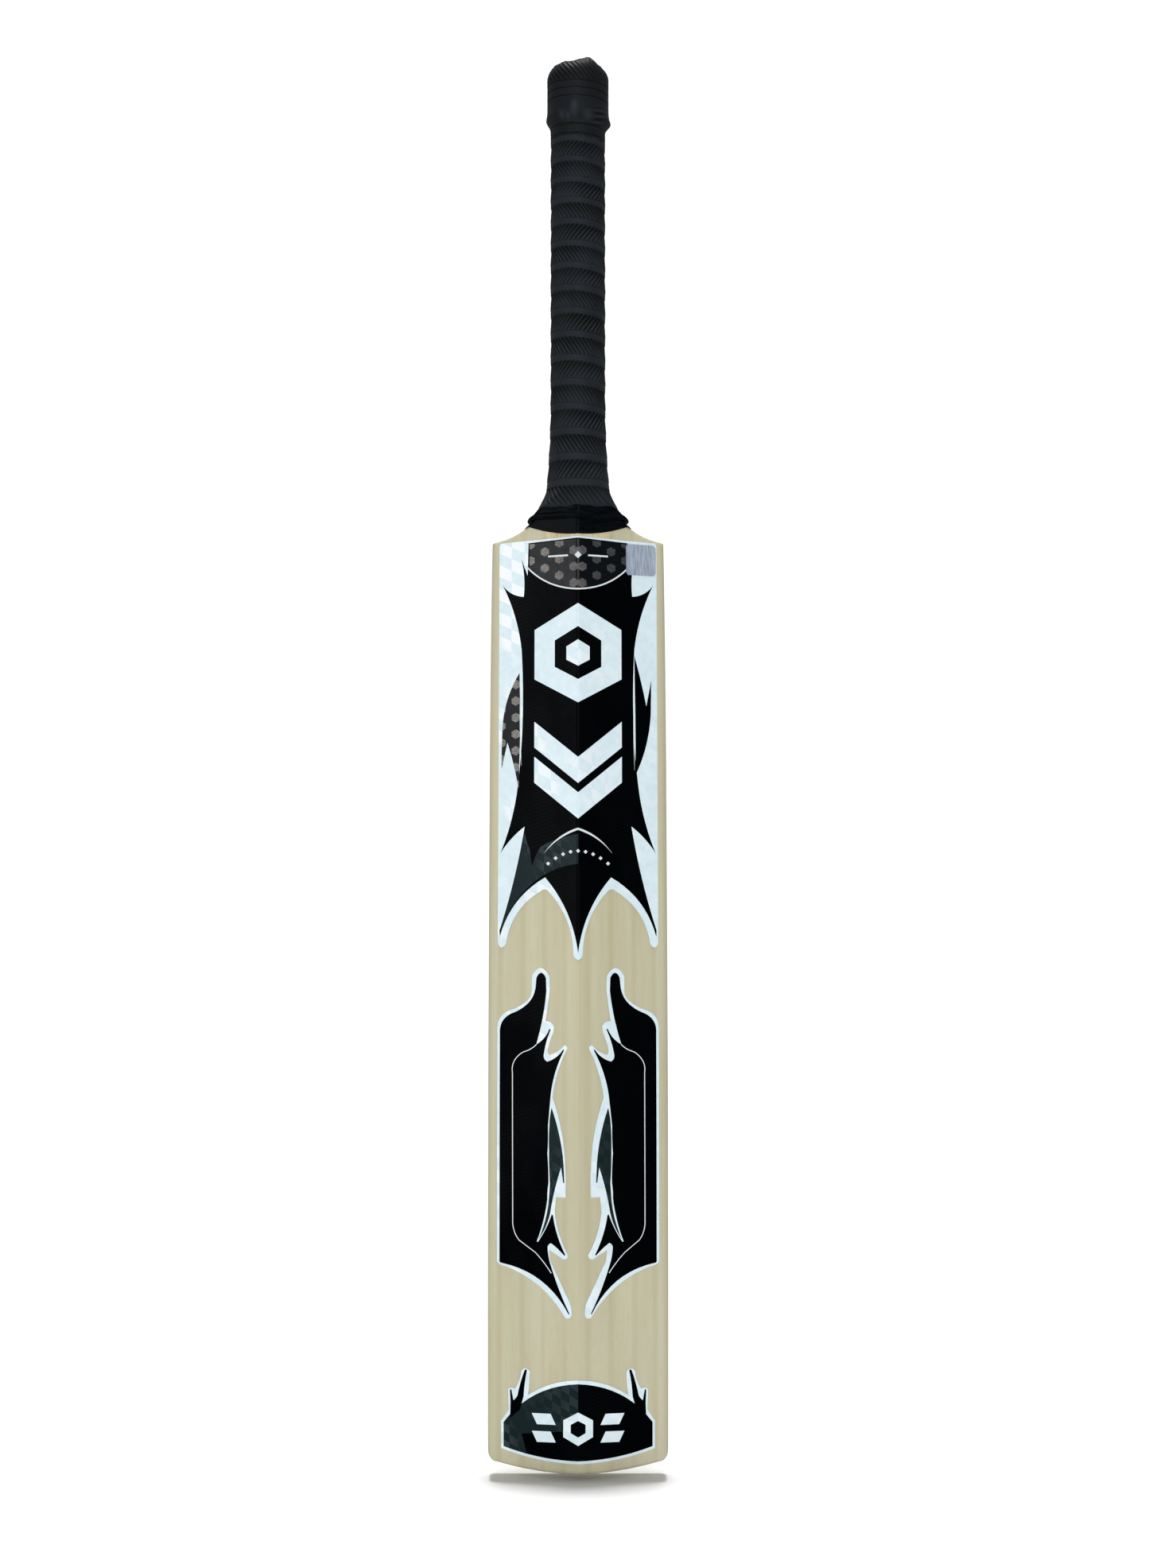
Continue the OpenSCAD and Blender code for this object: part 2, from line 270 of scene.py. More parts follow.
def blade_slice(x_fixed, angle, side):
    """One loop of the blade at a fixed distance from the ridge, from the middle of the toe
    up the face, over the shoulder or the splice, and down the back."""
    turn = math.radians(angle) if angle is not None else 0.0
    drop = EDGE_ROUND * (1 - math.cos(turn))

    def x_at(h):
        if x_fixed is not None:
            return x_fixed
        return half_width(h) - EDGE_ROUND + EDGE_ROUND * math.sin(turn)

    x_low, x_high = x_at(0), x_at(560)
    low = toe_height(x_low)
    in_splice = x_high < SPLICE_WALL_HALF_W
    top_round = 0.15 if in_splice else 2.5
    toe_round = 3.5

    def top(y):
        h = hollow_height(math.hypot(x_high, y))
        return min(h, splice_height(x_high)) if in_splice else h

    def face(h):
        return face_y(h) - drop

    def back(h):
        return back_y(x_at(h), h) + drop

    corners = [math.radians(b) for b in (0, 22.5, 45, 67.5, 90)]
    up = [i / SIDE_STEPS for i in range(1, SIDE_STEPS)]
    y_front, y_rear = face(low), back(low)
    toe_front = [(y_front - toe_round * (1 - math.cos(b)), low + toe_round * (1 - math.sin(b)))
                 for b in reversed(corners)]
    toe_rear = [(y_rear + toe_round * (1 - math.cos(b)), low + toe_round * (1 - math.sin(b)))
                for b in corners]
    middle = (toe_front[0][0] + toe_rear[-1][0]) / 2
    across = [1, 0.75, 0.5, 0.25]
    toe_start = [(middle + (toe_front[0][0] - middle) * (1 - t), low) for t in across]
    toe_end = [(middle + (toe_rear[-1][0] - middle) * t, low) for t in across]

    front_end = top(face(SHOULDER)) - top_round
    rear_end = top(back(SHOULDER)) - top_round
    start = low + toe_round
    front = [(face(start + (front_end - start) * t), start + (front_end - start) * t)
             for t in up]
    rear = [(back(start + (rear_end - start) * t), start + (rear_end - start) * t)
            for t in reversed(up)]
    y_front, y_rear = face(front_end), back(rear_end)
    crown = [y_front - top_round * (1 - math.cos(b)) for b in corners]
    fall = [top_round * (1 - math.sin(b)) for b in corners]
    span = (y_rear + top_round) - crown[-1]
    flat_top = [crown[-1] + span * t for t in (0.1, 0.25, 0.4, 0.6, 0.75, 0.9)]
    crown += flat_top
    fall += [0.0] * len(flat_top)
    crown += [y_rear + top_round * (1 - math.cos(b)) for b in reversed(corners)]
    fall += [top_round * (1 - math.sin(b)) for b in reversed(corners)]
    over = [(y, top(y) - f) for y, f in zip(crown, fall)]

    loop = toe_start + toe_front + front + over + rear + toe_rear + toe_end[::-1]
    return [(side * x_at(h), y, h) for y, h in loop]


def make_blade(paint):
    positions = edge_positions()
    slices = [blade_slice(x, a, -1) for x, a in reversed(positions)]
    slices += [blade_slice(x, a, 1) for x, a in positions[1:]]
    points, faces = closed_tube(slices, wrap=False)
    n = len(slices[0])
    last = (len(slices) - 1) * n
    for k in range(n // 2 - 1):
        faces.append((k + 1, k, n - 1 - k, n - 2 - k))
        faces.append((last + k, last + k + 1, last + n - 2 - k, last + n - 1 - k))
    piece = add_piece("willow_blade", points, faces, [paint], sharp=50)
    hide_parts("blade")
    return piece


# ---- outlines of the printed labels ----

def curve(rows, n=10, closed=True):
    """Points of an outline of (x, height, bow) rows; bow is how far the side that follows
    swells outwards, to the right of its direction."""
    points = []
    count = len(rows)
    for i in range(count if closed else count - 1):
        a, b = rows[i], rows[(i + 1) % count]
        dx, dy = b[0] - a[0], b[1] - a[1]
        length = math.hypot(dx, dy)
        steps = n if a[2] else 1
        for k in range(steps):
            u = k / steps
            lift = 4 * u * (1 - u) * a[2] / length
            points.append((a[0] + u * dx + lift * dy, a[1] + u * dy - lift * dx))
    if not closed:
        points.append((rows[-1][0], rows[-1][1]))
    return points


def both_sides(rows):
    """Closes a symmetrical outline from its right-hand half, bottom to top of the middle."""
    top = len(rows) - 1
    right = list(rows[:top]) + [(0, rows[top][1], rows[top - 1][2])]
    left = [(-rows[i][0], rows[i][1], rows[i - 1][2]) for i in range(top - 1, 0, -1)]
    return right + left


def flipped(points):
    """The same outline on the other side of the ridge."""
    return [(-x, h) for x, h in reversed(points)]


def stroke(rows, width, tapered=False):
    """A line of a given width along an open curve, thinning to its ends when tapered."""
    middle = curve(rows, closed=False)
    left, right = [], []
    for i, (x, h) in enumerate(middle):
        a, b = middle[max(i - 1, 0)], middle[min(i + 1, len(middle) - 1)]
        dx, dy = b[0] - a[0], b[1] - a[1]
        length = math.hypot(dx, dy)
        t = i / (len(middle) - 1)
        half = width / 2 * (max(math.sin(math.pi * t), 0.08) if tapered else 1)
        left.append((x - dy / length * half, h + dx / length * half))
        right.append((x + dy / length * half, h - dx / length * half))
    return right + left[::-1]


def hexagon(x, h, r):
    return [(x + r * math.sin(math.radians(60 * i)), h + r * math.cos(math.radians(60 * i)))
            for i in range(6)]


def chevron(h, half_w, drop, thick):
    """A V-shaped bar that points down."""
    return [(0, h - drop - thick), (half_w, h - thick), (half_w, h), (0, h - drop),
            (-half_w, h), (-half_w, h - thick)]


def diamond(x, h, r):
    return [(x, h - r), (x + r, h), (x, h + r), (x - r, h)]


MAIN_LABEL = both_sides([
    (0, 300, 0.8), (2.7, 303.5, -3.8), (17.8, 340.5, -0.7), (21.5, 340.5, -4.5),
    (42.5, 309.5, 0.5), (45.5, 307, 0.6), (47.5, 311, 0), (47.5, 549.5, 0.3), (46, 551, 0),
    (0, 552.5, 0),
])
SIDE_LABEL = [
    (3.8, 95.5, 1.2), (7.5, 93.5, -4.2), (42, 121.5, 0.6), (47.5, 124, 0), (47.5, 258, 3),
    (39, 270.8, -0.5), (31, 275.2, -1), (27.2, 281.5, 0), (27, 290.5, 4.7), (16.8, 290.5, 0.3),
    (16.8, 279, 0), (18.9, 264.4, 1), (14, 261.5, 0), (14.3, 258, -0.3), (17.6, 248, -0.5),
    (16.5, 245, -0.8), (8, 250.8, 0.5), (6.2, 249, -1.3), (14.8, 220.5, 1.3), (7.5, 184, 0.2),
    (7.2, 163.2, 0), (12.6, 163.2, 0), (13.5, 155, -1.4), (5.9, 130.2, 1), (8.6, 127.4, 0),
    (16.6, 132.4, -0.2), (16, 126, 0), (4.6, 102, 0.2),
]
TOE_LABEL = both_sides([
    (0, 7, 2), (45, 15, 0), (45, 31, 0), (40.5, 38, 0), (41, 49.5, 0.5), (38.5, 51, 0),
    (36.8, 50.4, -0.8), (33.2, 61, 1.5), (28.2, 61, 0.3), (29.3, 46.8, 2.3), (0, 57, 0),
])
SEAL_LABEL = [
    (31, 530.5, 0), (44.5, 530.5, 0.8), (47, 533, 0), (47, 547.2, 0.8), (44.5, 549.5, 0),
    (31, 549.5, 0.8), (29, 547.2, 0), (29, 533, 0.8),
]

PALE, BLACK, GREY, DARK, LINE, SPOT = range(6)


def spots(low, high, widest, size=2.9):
    """Six-sided spots in staggered columns, mirrored at the ridge, printed on DARK only."""
    column, pitch = 8.65, 10.0
    marks = []
    for i in range(int(widest / column) + 1):
        x = 2.6 + column * i
        for j in range(int((high - low) / pitch) + 1):
            h = low + pitch * (j + 0.5 * (i % 2))
            marks += [(SPOT, hexagon(x, h, size), DARK), (SPOT, hexagon(-x, h, size), DARK)]
    return marks


def main_art():
    """What is printed on the main label, as (paint, outline) in the order of printing."""
    field = both_sides([
        (0, 303.8, -3.6), (19.4, 348.2, -4.6), (46.3, 313.2, 0), (46.5, 317, -1.2),
        (31.6, 378.5, -1), (46.2, 362.7, -1.6), (35.6, 405, -0.5), (33, 445, -0.4),
        (33.8, 485, -1.8), (45.5, 525.2, -1.8), (32.6, 517.2, -1), (34.1, 540.6, 0),
        (30.3, 530, 0), (29.8, 550, 0), (0, 551.5, 0),
    ])
    panel = both_sides([(0, 521, 3.3), (29.2, 534, 0), (29.2, 549.3, 0), (0, 550.8, 0)])
    left_fin = [(-35, 471, 2.5), (-45.3, 436, 0.2), (-45.6, 413.4, 0), (-42.2, 429, -0.6),
                (-35.3, 400, 0), (-34.4, 440, 0)]
    right_fin = [(34.4, 409.5, 1.8), (43.6, 446, 0), (44, 467, 0), (40.9, 451, 0.3),
                 (33.7, 481.5, 0), (34.2, 445, 0)]
    grey_band = [(-45.6, 316, -3.9), (-20.4, 349.6, -1.2), (0, 356, 0), (0, 373.5, 1),
                 (-21.9, 366.5, 0.5), (-27.2, 354.8, 0), (-28.6, 365, -0.5), (-31.6, 376.5, -1),
                 (-45.6, 319, 0)]
    art = [(BLACK, curve(field)), (DARK, curve(panel)), (DARK, curve(left_fin)),
           (BLACK, curve(right_fin)), (GREY, curve(grey_band))]
    art.append((LINE, stroke([(-31, 535.6, 3.6), (0, 520.2, 3.6), (31, 535.6, 0)], 0.9)))
    tapered_lines = [
        ([(-34, 472, 0.5), (-33.8, 415, 0)], 0.8), ([(33.8, 470, 0.3), (33.6, 412, 0)], 0.8),
        ([(-20, 362.5, -2), (0, 376.5, -2), (20, 362.5, 0)], 1.3),
    ]
    art += [(LINE, stroke(rows, width, tapered=True)) for rows, width in tapered_lines]
    art += emblem_art()
    art += spots(404, 553, 50)
    bars = 541
    art += [(LINE, stroke([(x, bars, 0), (x + 12, bars, 0)], 1.1)) for x in (-18, 6)]
    art.append((LINE, diamond(0, bars, 2.2)))
    for i in range(-4, 5):
        art.append((LINE, diamond(4.4 * i, 363.5 - 0.45 * i * i, 1.2)))
    return art


def emblem_art():
    """Two plain geometric emblems: a six-sided nut above two chevrons."""
    nut = 481.5
    return [(PALE, hexagon(0, nut, 30)), (BLACK, hexagon(0, nut, 16)), (PALE, hexagon(0, nut, 8)),
            (PALE, chevron(441, 26, 22, 15.5)), (PALE, chevron(420, 26, 22, 15.5))]


def leaned(rows, side):
    """The rows of one side label's print: both prints lie a little to the right of a mirrored
    pair, most of all low down and near the ridge."""
    return [(x + 1.2 * side * clamp((46 - x) / 20) * smooth((290 - h) / 100), h, bow)
            for x, h, bow in rows]


def side_art(side):
    """The print of a side label, right of the ridge; side is 1 for the right, -1 for the left."""
    body = [
        (6.6, 95.3, -6.2), (45.1, 123.4, 0.4), (46, 125, 0), (46, 256.5, 2.4),
        (39, 268.6, -0.5), (30, 274, -1), (24.9, 284, 0), (24.4, 289.5, 2.9),
        (18.8, 289.5, 0), (18.5, 282, 0.8), (24.8, 250.8, -1.1), (17, 260, 0), (16.2, 259.5, -0.5),
        (20.4, 245.5, -0.9), (18.6, 241, -1.1), (9.2, 248.2, 0), (8.6, 247.7, -1.2),
        (16.8, 222, 0), (18.6, 204, 0.2), (19, 188, 0.2), (18.4, 171, -0.2), (19, 162, 0.8),
        (25.2, 137, 0), (24.6, 136.6, -0.6), (16.5, 153, 0), (15.8, 152.6, -1), (8.6, 130, 0),
        (9.3, 129.6, -0.3), (16.9, 136.4, -0.4), (18.9, 134, -0.2), (17.8, 126, 0),
        (15.6, 119, -0.4), (6.2, 96, 0),
    ]
    leaf = [
        (24.2, 138.2, -1), (18.1, 162, 0), (17.5, 171, 0.2), (18.1, 190, 0.2), (17.8, 204, 0.3),
        (16.4, 214.5, 1.1), (9.6, 182, 0), (9.2, 171.5, 0), (9.9, 171.5, 0), (11, 180.3, -0.5),
        (17, 156, 1.1),
    ]
    inner_line = [(24.7, 250.8, 0.6), (32.3, 246.3, -0.5), (37.6, 241, -0.6), (38.7, 234, 0),
                  (38.6, 147, -0.8), (35.2, 137.3, 0), (26, 130.5, 0.4), (16.8, 119, 0)]
    return [(BLACK, curve(leaned(body, side))), (GREY, curve(leaned(leaf, side))),
            (LINE, stroke(leaned(inner_line, side), 0.5))]


def toe_art():
    """The print of the toe label: a dome with horns, a hexagon and two bars on each side; the
    dome's left half is painted grey as a painted reflection.
    """
    dome = both_sides([(0, 8.7, 1.9), (43.6, 16.2, 0), (43.6, 30.4, 5.7), (0, 54.8, 0)])
    horn = [(39.8, 33, 0), (39.5, 43, 0), (39.8, 49.3, 0.5), (38.9, 49.5, 0), (37.8, 43.5, -0.3),
            (35.3, 46.8, 0.3), (31.2, 61.4, 0.7), (29.8, 61.2, -0.3), (31.8, 46, 0), (34, 38, 0)]
    # Painted reflection: the dome's left half is printed grey over the black, standing in for
    # light on the prismatic film.
    lit_half = [(0, 27), (0, 56), (-45, 56), (-45, 12), (-30, 13), (-33, 24)]
    art = [(BLACK, curve(dome)), (GREY, lit_half, BLACK)]
    art += [(BLACK, curve(horn)), (BLACK, flipped(curve(horn)))]
    art += [(PALE, hexagon(0, 28, 10)), (BLACK, hexagon(0, 28, 5))]
    for low in (19.5, 30):
        bar = [(13, low), (24, low), (27, low + 6.5), (16, low + 6.5)]
        art += [(PALE, bar), (PALE, flipped(bar))]
    return art


# ---- labels as thin vinyl on the back ----

def inside(point, outline):
    """Whether the point lies within the outline, from the sides it crosses."""
    x, h = point
    hit = False
    for i, (x1, h1) in enumerate(outline):
        x2, h2 = outline[i - 1]
        if (h1 > h) != (h2 > h) and x < (x2 - x1) * (h - h1) / (h2 - h1) + x1:
            hit = not hit
    return hit


def split_sides(loop, closed, longest=6.0):
    """The loop with points added on its long sides, so that it can follow the curved back."""
    fine = []
    for i, a in enumerate(loop):
        b = loop[(i + 1) % len(loop)]
        last = i == len(loop) - 1 and not closed
        steps = 1 if last else math.ceil(math.dist(a, b) / longest)
        fine += [(a[0] + (b[0] - a[0]) * k / steps, a[1] + (b[1] - a[1]) * k / steps)
                 for k in range(steps)]
    return fine


def back_normal(x, h):
    """Direction in which the back faces; the ridge's fold is spread a little to each side."""
    fold = 1.2
    across = (back_y(x + fold, h) - back_y(x - fold, h)) / (2 * fold)
    up = back_y(x, h + 0.5) - back_y(x, h - 0.5)
    return Vector((across, -1, up)).normalized()


def label_cuts(outline, art):
    """Points and edges that split a label along its outline, every printed edge and the ridge,
    with loose points between that keep its triangles small."""
    points, edges = [], []

    def add_loop(loop, closed=True):
        first = len(points)
        points.extend(Vector(p) for p in split_sides(loop, closed))
        last = len(points)
        edges.extend((i, i + 1) for i in range(first, last - 1))
        if closed:
            edges.append((last - 1, first))

    for loop in [outline] + [mark[1] for mark in art]:
        add_loop(loop)
    low = min(h for _, h in outline)
    high = max(h for _, h in outline)
    widest = max(abs(x) for x, _ in outline)
    rows = int((high - low) / 8) + 2
    heights = [low + (high - low) * i / rows for i in range(rows + 1)]
    for x in (0, 0.5, 1.2, 8, 16, 24, 32, 40):
        for column in {-x, x} if x < widest else ():
            if x < 2:
                add_loop([(column, h) for h in heights], closed=False)
            else:
                points.extend(Vector((column, h)) for h in heights[1:-1])
    return points, edges


def paint_at(point, art):
    """The paint that is printed last at a point of a label."""
    paint = PALE
    for tint, shape, *only_on in art:
        if (not only_on or only_on[0] == paint) and inside(point, shape):
            paint = tint
    return paint


def order_face(face, corners):
    """The face turned so that it looks away from the bat's back."""
    area = sum(a.x * b.y - b.x * a.y for a, b in zip(corners, corners[1:] + corners[:1]))
    return face if area > 0 else face[::-1]


def make_label(name, node, outline, art, paints, base=0.0):
    """A thin closed sheet of vinyl that follows the back, cut along every printed edge. It
    lies on the blade, or on another label when base is that label's thickness."""
    flat, _, faces, _, _, _ = delaunay_2d_cdt(*label_cuts(outline, art), [], 0, 1e-4)
    kept, tints = [], []
    for face in faces:
        middle = sum((flat[i] for i in face), Vector((0, 0))) / len(face)
        if inside(middle, outline):
            kept.append(face)
            tints.append(paint_at(middle, art))
    used = sorted({i for face in kept for i in face})
    order = {old: new for new, old in enumerate(used)}
    tops = [order_face([order[i] for i in face], [flat[i] for i in face]) for face in kept]
    count = len(used)
    places = [(flat[i].x, flat[i].y) for i in used]
    top = [(x, back_y(x, h) - base - STICKER, h) for x, h in places]
    under = [(x, back_y(x, h) - base - GLUE_GAP, h) for x, h in places]
    normals = [back_normal(x, h) for x, h in places]
    borders = {}
    for face, tint in zip(tops, tints):
        for a, b in zip(face, face[1:] + face[:1]):
            borders[(a, b)] = tint
    walls, wall_tints = [], []
    for (a, b), tint in borders.items():
        if (b, a) not in borders:
            walls.append([b, a, a + count, b + count])
            wall_tints.append(tint)
    bottoms = [[i + count for i in reversed(face)] for face in tops]
    piece = add_piece(name, top + under, tops + bottoms + walls, paints,
                      tints + tints + wall_tints, normals + normals)
    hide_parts(node)
    return piece


# ---- rubber grip ----

FIRST_LINE = 798.7
BAND_PITCH, BAND_STRETCH = 12.4, 0.112
STRIP_SHARE = 0.27
RIBS_ROUND = 38
RIB_RISE = 3.3
RIB_RELIEF, BAND_RELIEF, LINE_DEPTH = 0.8, 0.5, 0.4
TOP_TILT = 0.9
TOP_RINGS = (832.6, 828.0, 823.0, 806.3, 800.4)
TOP_RIBS_FROM = 833.2
RIM_START, RIM_ROUND, RIM_STEPS = 838.5, 7.5, 18
RELIEF_TOP = 845.0


def ribs(angle, climb, lean):
    """Slanted ribs from 0 to 1; climb is the height in which a rib moves over by one."""
    phase = RIBS_ROUND * angle / (2 * math.pi) - lean * climb / RIB_RISE
    return clamp(0.55 + 0.75 * math.cos(2 * math.pi * phase))


def band_relief(angle, h):
    """Relief of the grip's bands, which are wound slightly out of level: a smooth strip
    under a dark line, a drop, then slanted ribs that lean the other way from the last."""
    drop = FIRST_LINE - h - 1.4 * smooth((h - 575) / 60) * math.cos(angle)
    if drop < 0:
        return BAND_RELIEF
    root = math.sqrt(BAND_PITCH ** 2 + 4 * BAND_STRETCH * drop)
    down = (root - BAND_PITCH) / (2 * BAND_STRETCH)
    index = int(down)
    part = down - index
    line = LINE_DEPTH * (1 - smooth(min(part, 1 - part) / 0.035))
    if part < STRIP_SHARE:
        return BAND_RELIEF * (1 - 0.3 * part / STRIP_SHARE) - line
    ribbed = (part - STRIP_SHARE) / (1 - STRIP_SHARE)
    edge = smooth(ribbed / 0.05)
    swell = BAND_RELIEF * (0.7 - 0.7 * edge + smooth(ribbed))
    lean = -1 if index % 2 else 1
    fade = edge * smooth((1 - ribbed) / 0.08)
    worn = 0.75 + 0.25 * math.sin(2 * angle + 1.3 * index)
    pressed = RIB_RELIEF * fade * worn * (ribs(angle, -part * BAND_PITCH, lean) - 0.8)
    return min(swell, BAND_RELIEF) + pressed - line


# Lumps where the grip is rolled over the sleeve's end: angle in degrees, height, and how
# wide, tall and proud each one is
LUMPS = [
    (-97, 814.5, 6.5, 4.5, 0.8), (-110, 810.5, 4.5, 2.0, 0.7), (-122, 811.5, 5.0, 2.4, 0.7),
    (178, 811.0, 11.0, 3.4, 0.8), (3, 810.5, 9.0, 3.0, 1.2), (-70, 811.0, 9.0, 2.2, 0.5),
    (60, 811.0, 14.0, 3.0, 0.8), (105, 812.5, 10.0, 3.5, 0.5), (138, 810.0, 8.0, 2.4, 0.8),
]


def lumps(angle, h):
    """How far the lumps stand out together at an angle and height."""
    total = 0.0
    for turn, height, wide, tall, proud in LUMPS:
        away = (math.degrees(angle) - turn + 180) % 360 - 180
        total += proud * math.exp(-(away / wide) ** 2 - ((h - height) / tall) ** 2)
    return total


def top_relief(angle, h):
    """Relief of the thick top of the grip: ring grooves, lumps and folds, and a last band
    of slanted ribs up to the rim."""
    level = h + TOP_TILT * math.cos(angle)
    relief = lumps(angle, h)
    for ring in TOP_RINGS:
        relief -= 0.45 * (1 - smooth(abs(level - ring) / 0.6))
    side = math.exp(-((math.degrees(angle) + 45) / 13) ** 2)
    folds = math.exp(-((h - 811) / 4.5) ** 2) * side
    relief += 0.5 * folds * math.sin(2 * math.pi * (h - 0.05 * math.degrees(angle)) / 3.2)
    if level > TOP_RIBS_FROM:
        fade = smooth((level - TOP_RIBS_FROM) / 1.2) * (0.6 + 0.4 * math.cos(angle + 2.6))
        relief += 0.55 * fade * (ribs(angle, h, -1) - 0.8)
    return relief


def grip_surface(angle, h):
    """Smooth radius and relief of the rubber grip below its rounded rim."""
    level = h + TOP_TILT * math.cos(angle)
    thick = SLEEVE * smooth((level - SLEEVE_LOW + SLEEVE_SLOPE - 1.5) / SLEEVE_SLOPE)
    skin = HANDLE_R + GRIP_SKIN if h > HOLLOW_TOP + TAPER else skin_radius(angle, h, GRIP_SKIN)
    inset = 0.55 * smooth((h - 575) / 10)
    if level > FIRST_LINE:
        skin += BAND_RELIEF * smooth((820 - h) / 10)
        return skin + thick - inset, top_relief(angle, h)
    return skin + thick - inset, band_relief(angle, h) * smooth((h - 568) / 4)


def grip_radius(angle, h):
    smooth_r, relief = grip_surface(angle, h)
    return smooth_r + relief


def rim_height(angle):
    """Height of the rolled rim, which is pulled up on one side and pinched on the other."""
    peak = math.exp(-((math.degrees(angle) + 62) / 24) ** 2)
    pinch = math.exp(-((math.degrees(angle) + 25) / 18) ** 2)
    return (847.0 + 2.2 * peak - 1.2 * pinch + 0.35 * math.sin(5 * angle + 1)
            + 0.25 * math.sin(11 * angle))


def make_grip(paint):
    """The grip's outside up to its rolled rim, then the mouth and the inside back down. Its
    relief is kept on its points, so that the paint can put painted shade in its grooves and a
    painted highlight on its ribs."""
    around = 304
    angles = [2 * math.pi * i / around - math.pi for i in range(around)]
    step = 0.5
    count = round((RIM_START - GRIP_END) / step)
    heights = [GRIP_END + step * i for i in range(count + 1)]
    rings = [[(grip_radius(a, h), h) for a in angles] for h in heights]
    for k in range(1, RIM_STEPS + 1):
        bend = math.radians(90 * k / RIM_STEPS)
        ring = []
        for a in angles:
            h = RIM_START + (rim_height(a) - RIM_START) * math.sin(bend)
            fold = 0.3 * math.sin(9 * a + 0.9 * k) * math.sin(2 * bend)
            outer = grip_radius(a, min(h, RELIEF_TOP))
            ring.append((outer - (RIM_ROUND + fold) * (1 - math.cos(bend)), h))
        rings.append(ring)
    rim = rings[-1]
    mouth_r, mouth_low = HANDLE_R - 4, BAT_LENGTH - 4.4
    for bend in (30, 60, 90):
        turn = math.radians(bend)
        rings.append([(r + (mouth_r - r) * math.sin(turn), h - 1.5 * (1 - math.cos(turn)))
                      for r, h in rim])
    rings.append([(mouth_r, mouth_low)] * around)
    rings.append([(HANDLE_R + TWINE + 0.02, mouth_low)] * around)
    for h in (HOLLOW_TOP + TAPER, NECK_ROUND_FROM, 600, 590, 583, 577, 572, 569, GRIP_END):
        rings.append([(skin_radius(a, h, TWINE) + 0.05, h) for a in angles])
    points = [[(r * math.cos(a), r * math.sin(a), h) for a, (r, h) in zip(angles, ring)]
              for ring in rings]
    points, faces = closed_tube(points)
    piece = add_piece("ribbed_grip", points, faces, [paint], sharp=75)
    relief = [grip_surface(a, min(h, RELIEF_TOP))[1] if j <= count + RIM_STEPS else 0.0
              for j, ring in enumerate(rings) for a, (_, h) in zip(angles, ring)]
    piece.data.attributes.new("relief", "FLOAT", "POINT").data.foreach_set("value", relief)
    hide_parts("grip")
    return piece


# ---- tapes ----

def crease(angle, h, size):
    """Uneven pull of wound tape: shallow slanted folds."""
    return size * (0.5 * math.sin(3 * angle + 0.8 * h + 1) + 0.3 * math.sin(7 * angle - 1.3 * h)
                   + 0.2 * math.sin(13 * angle + 2.1 * h + 2))


def make_tape(name, node, paint, profile, size):
    """A closed band round the neck. profile is a list of (height, growth, creased), where
    height may depend on the angle."""
    around = 288
    angles = [2 * math.pi * i / around for i in range(around)]
    rings = []
    for height, g, creased in profile:
        ring = []
        for a in angles:
            h = height(a) if callable(height) else height
            r = skin_radius(a, h, g)
            if creased:
                r += crease(a, h, size)
            ring.append((r * math.cos(a), r * math.sin(a), h))
        rings.append(ring)
    points, faces = closed_tube(rings)
    piece = add_piece(name, points, faces, [paint], sharp=70)
    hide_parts(node)
    return piece


def make_grip_end_tape(paint):
    """Tape over the grip's lower end: ragged at the top, rolled in at the bottom."""
    g = GRIP_SKIN
    high = 571.5

    def ragged(a):
        return high - 0.5 * (1 + 0.5 * math.sin(5 * a) + 0.5 * math.sin(13 * a + 1))

    def under_edge(drop):
        return lambda a: ragged(a) - drop

    outer = [(under_edge(0.3 + 0.45 * i), g + TAPE, True) for i in range(8)]
    roll = [(567, g + 0.75, True), (566.4, g + 1.1, True), (565.7, g + 1.3, True),
            (565, g + 1.2, True), (564.4, g + 0.9, True), (563.9, g + 0.3, True),
            (563.6, g - 0.7, False), (563.6, 0.75, False)]
    inner = [(566, 0.75, False), (566.1, g + 0.02, False), (high - 1.5, g + 0.02, False)]
    top = [(ragged, g + 0.3, True)]
    profile = top + outer + roll + inner
    make_tape("grip_end_band", "grip_end_tape", paint, profile[::-1], 0.22)


def collar_low(angle):
    """The collar's lower edge dips over the spine and over the face."""
    dip_height, dip_r = 554.0, 78.0
    h = dip_height
    for _ in range(4):
        x = skin_radius(angle, h, 0.6) * math.cos(angle)
        h = dip_height + dip_r - math.sqrt(dip_r * dip_r - x * x)
    return h


def make_collar_tape(paint):
    """Tape on the wood of the neck, from the grip's tape down to the shoulders."""
    top = 565.9

    def between(t):
        return lambda a: collar_low(a) + (top - collar_low(a)) * t

    outer = [(between(i / 24), 0.55, 0 < i) for i in range(25)]
    inner = [(between(1 - i / 12), 0.03, False) for i in range(13)]
    make_tape("neck_collar", "collar_tape", paint, outer + inner, 0.07)


# ---- materials ----

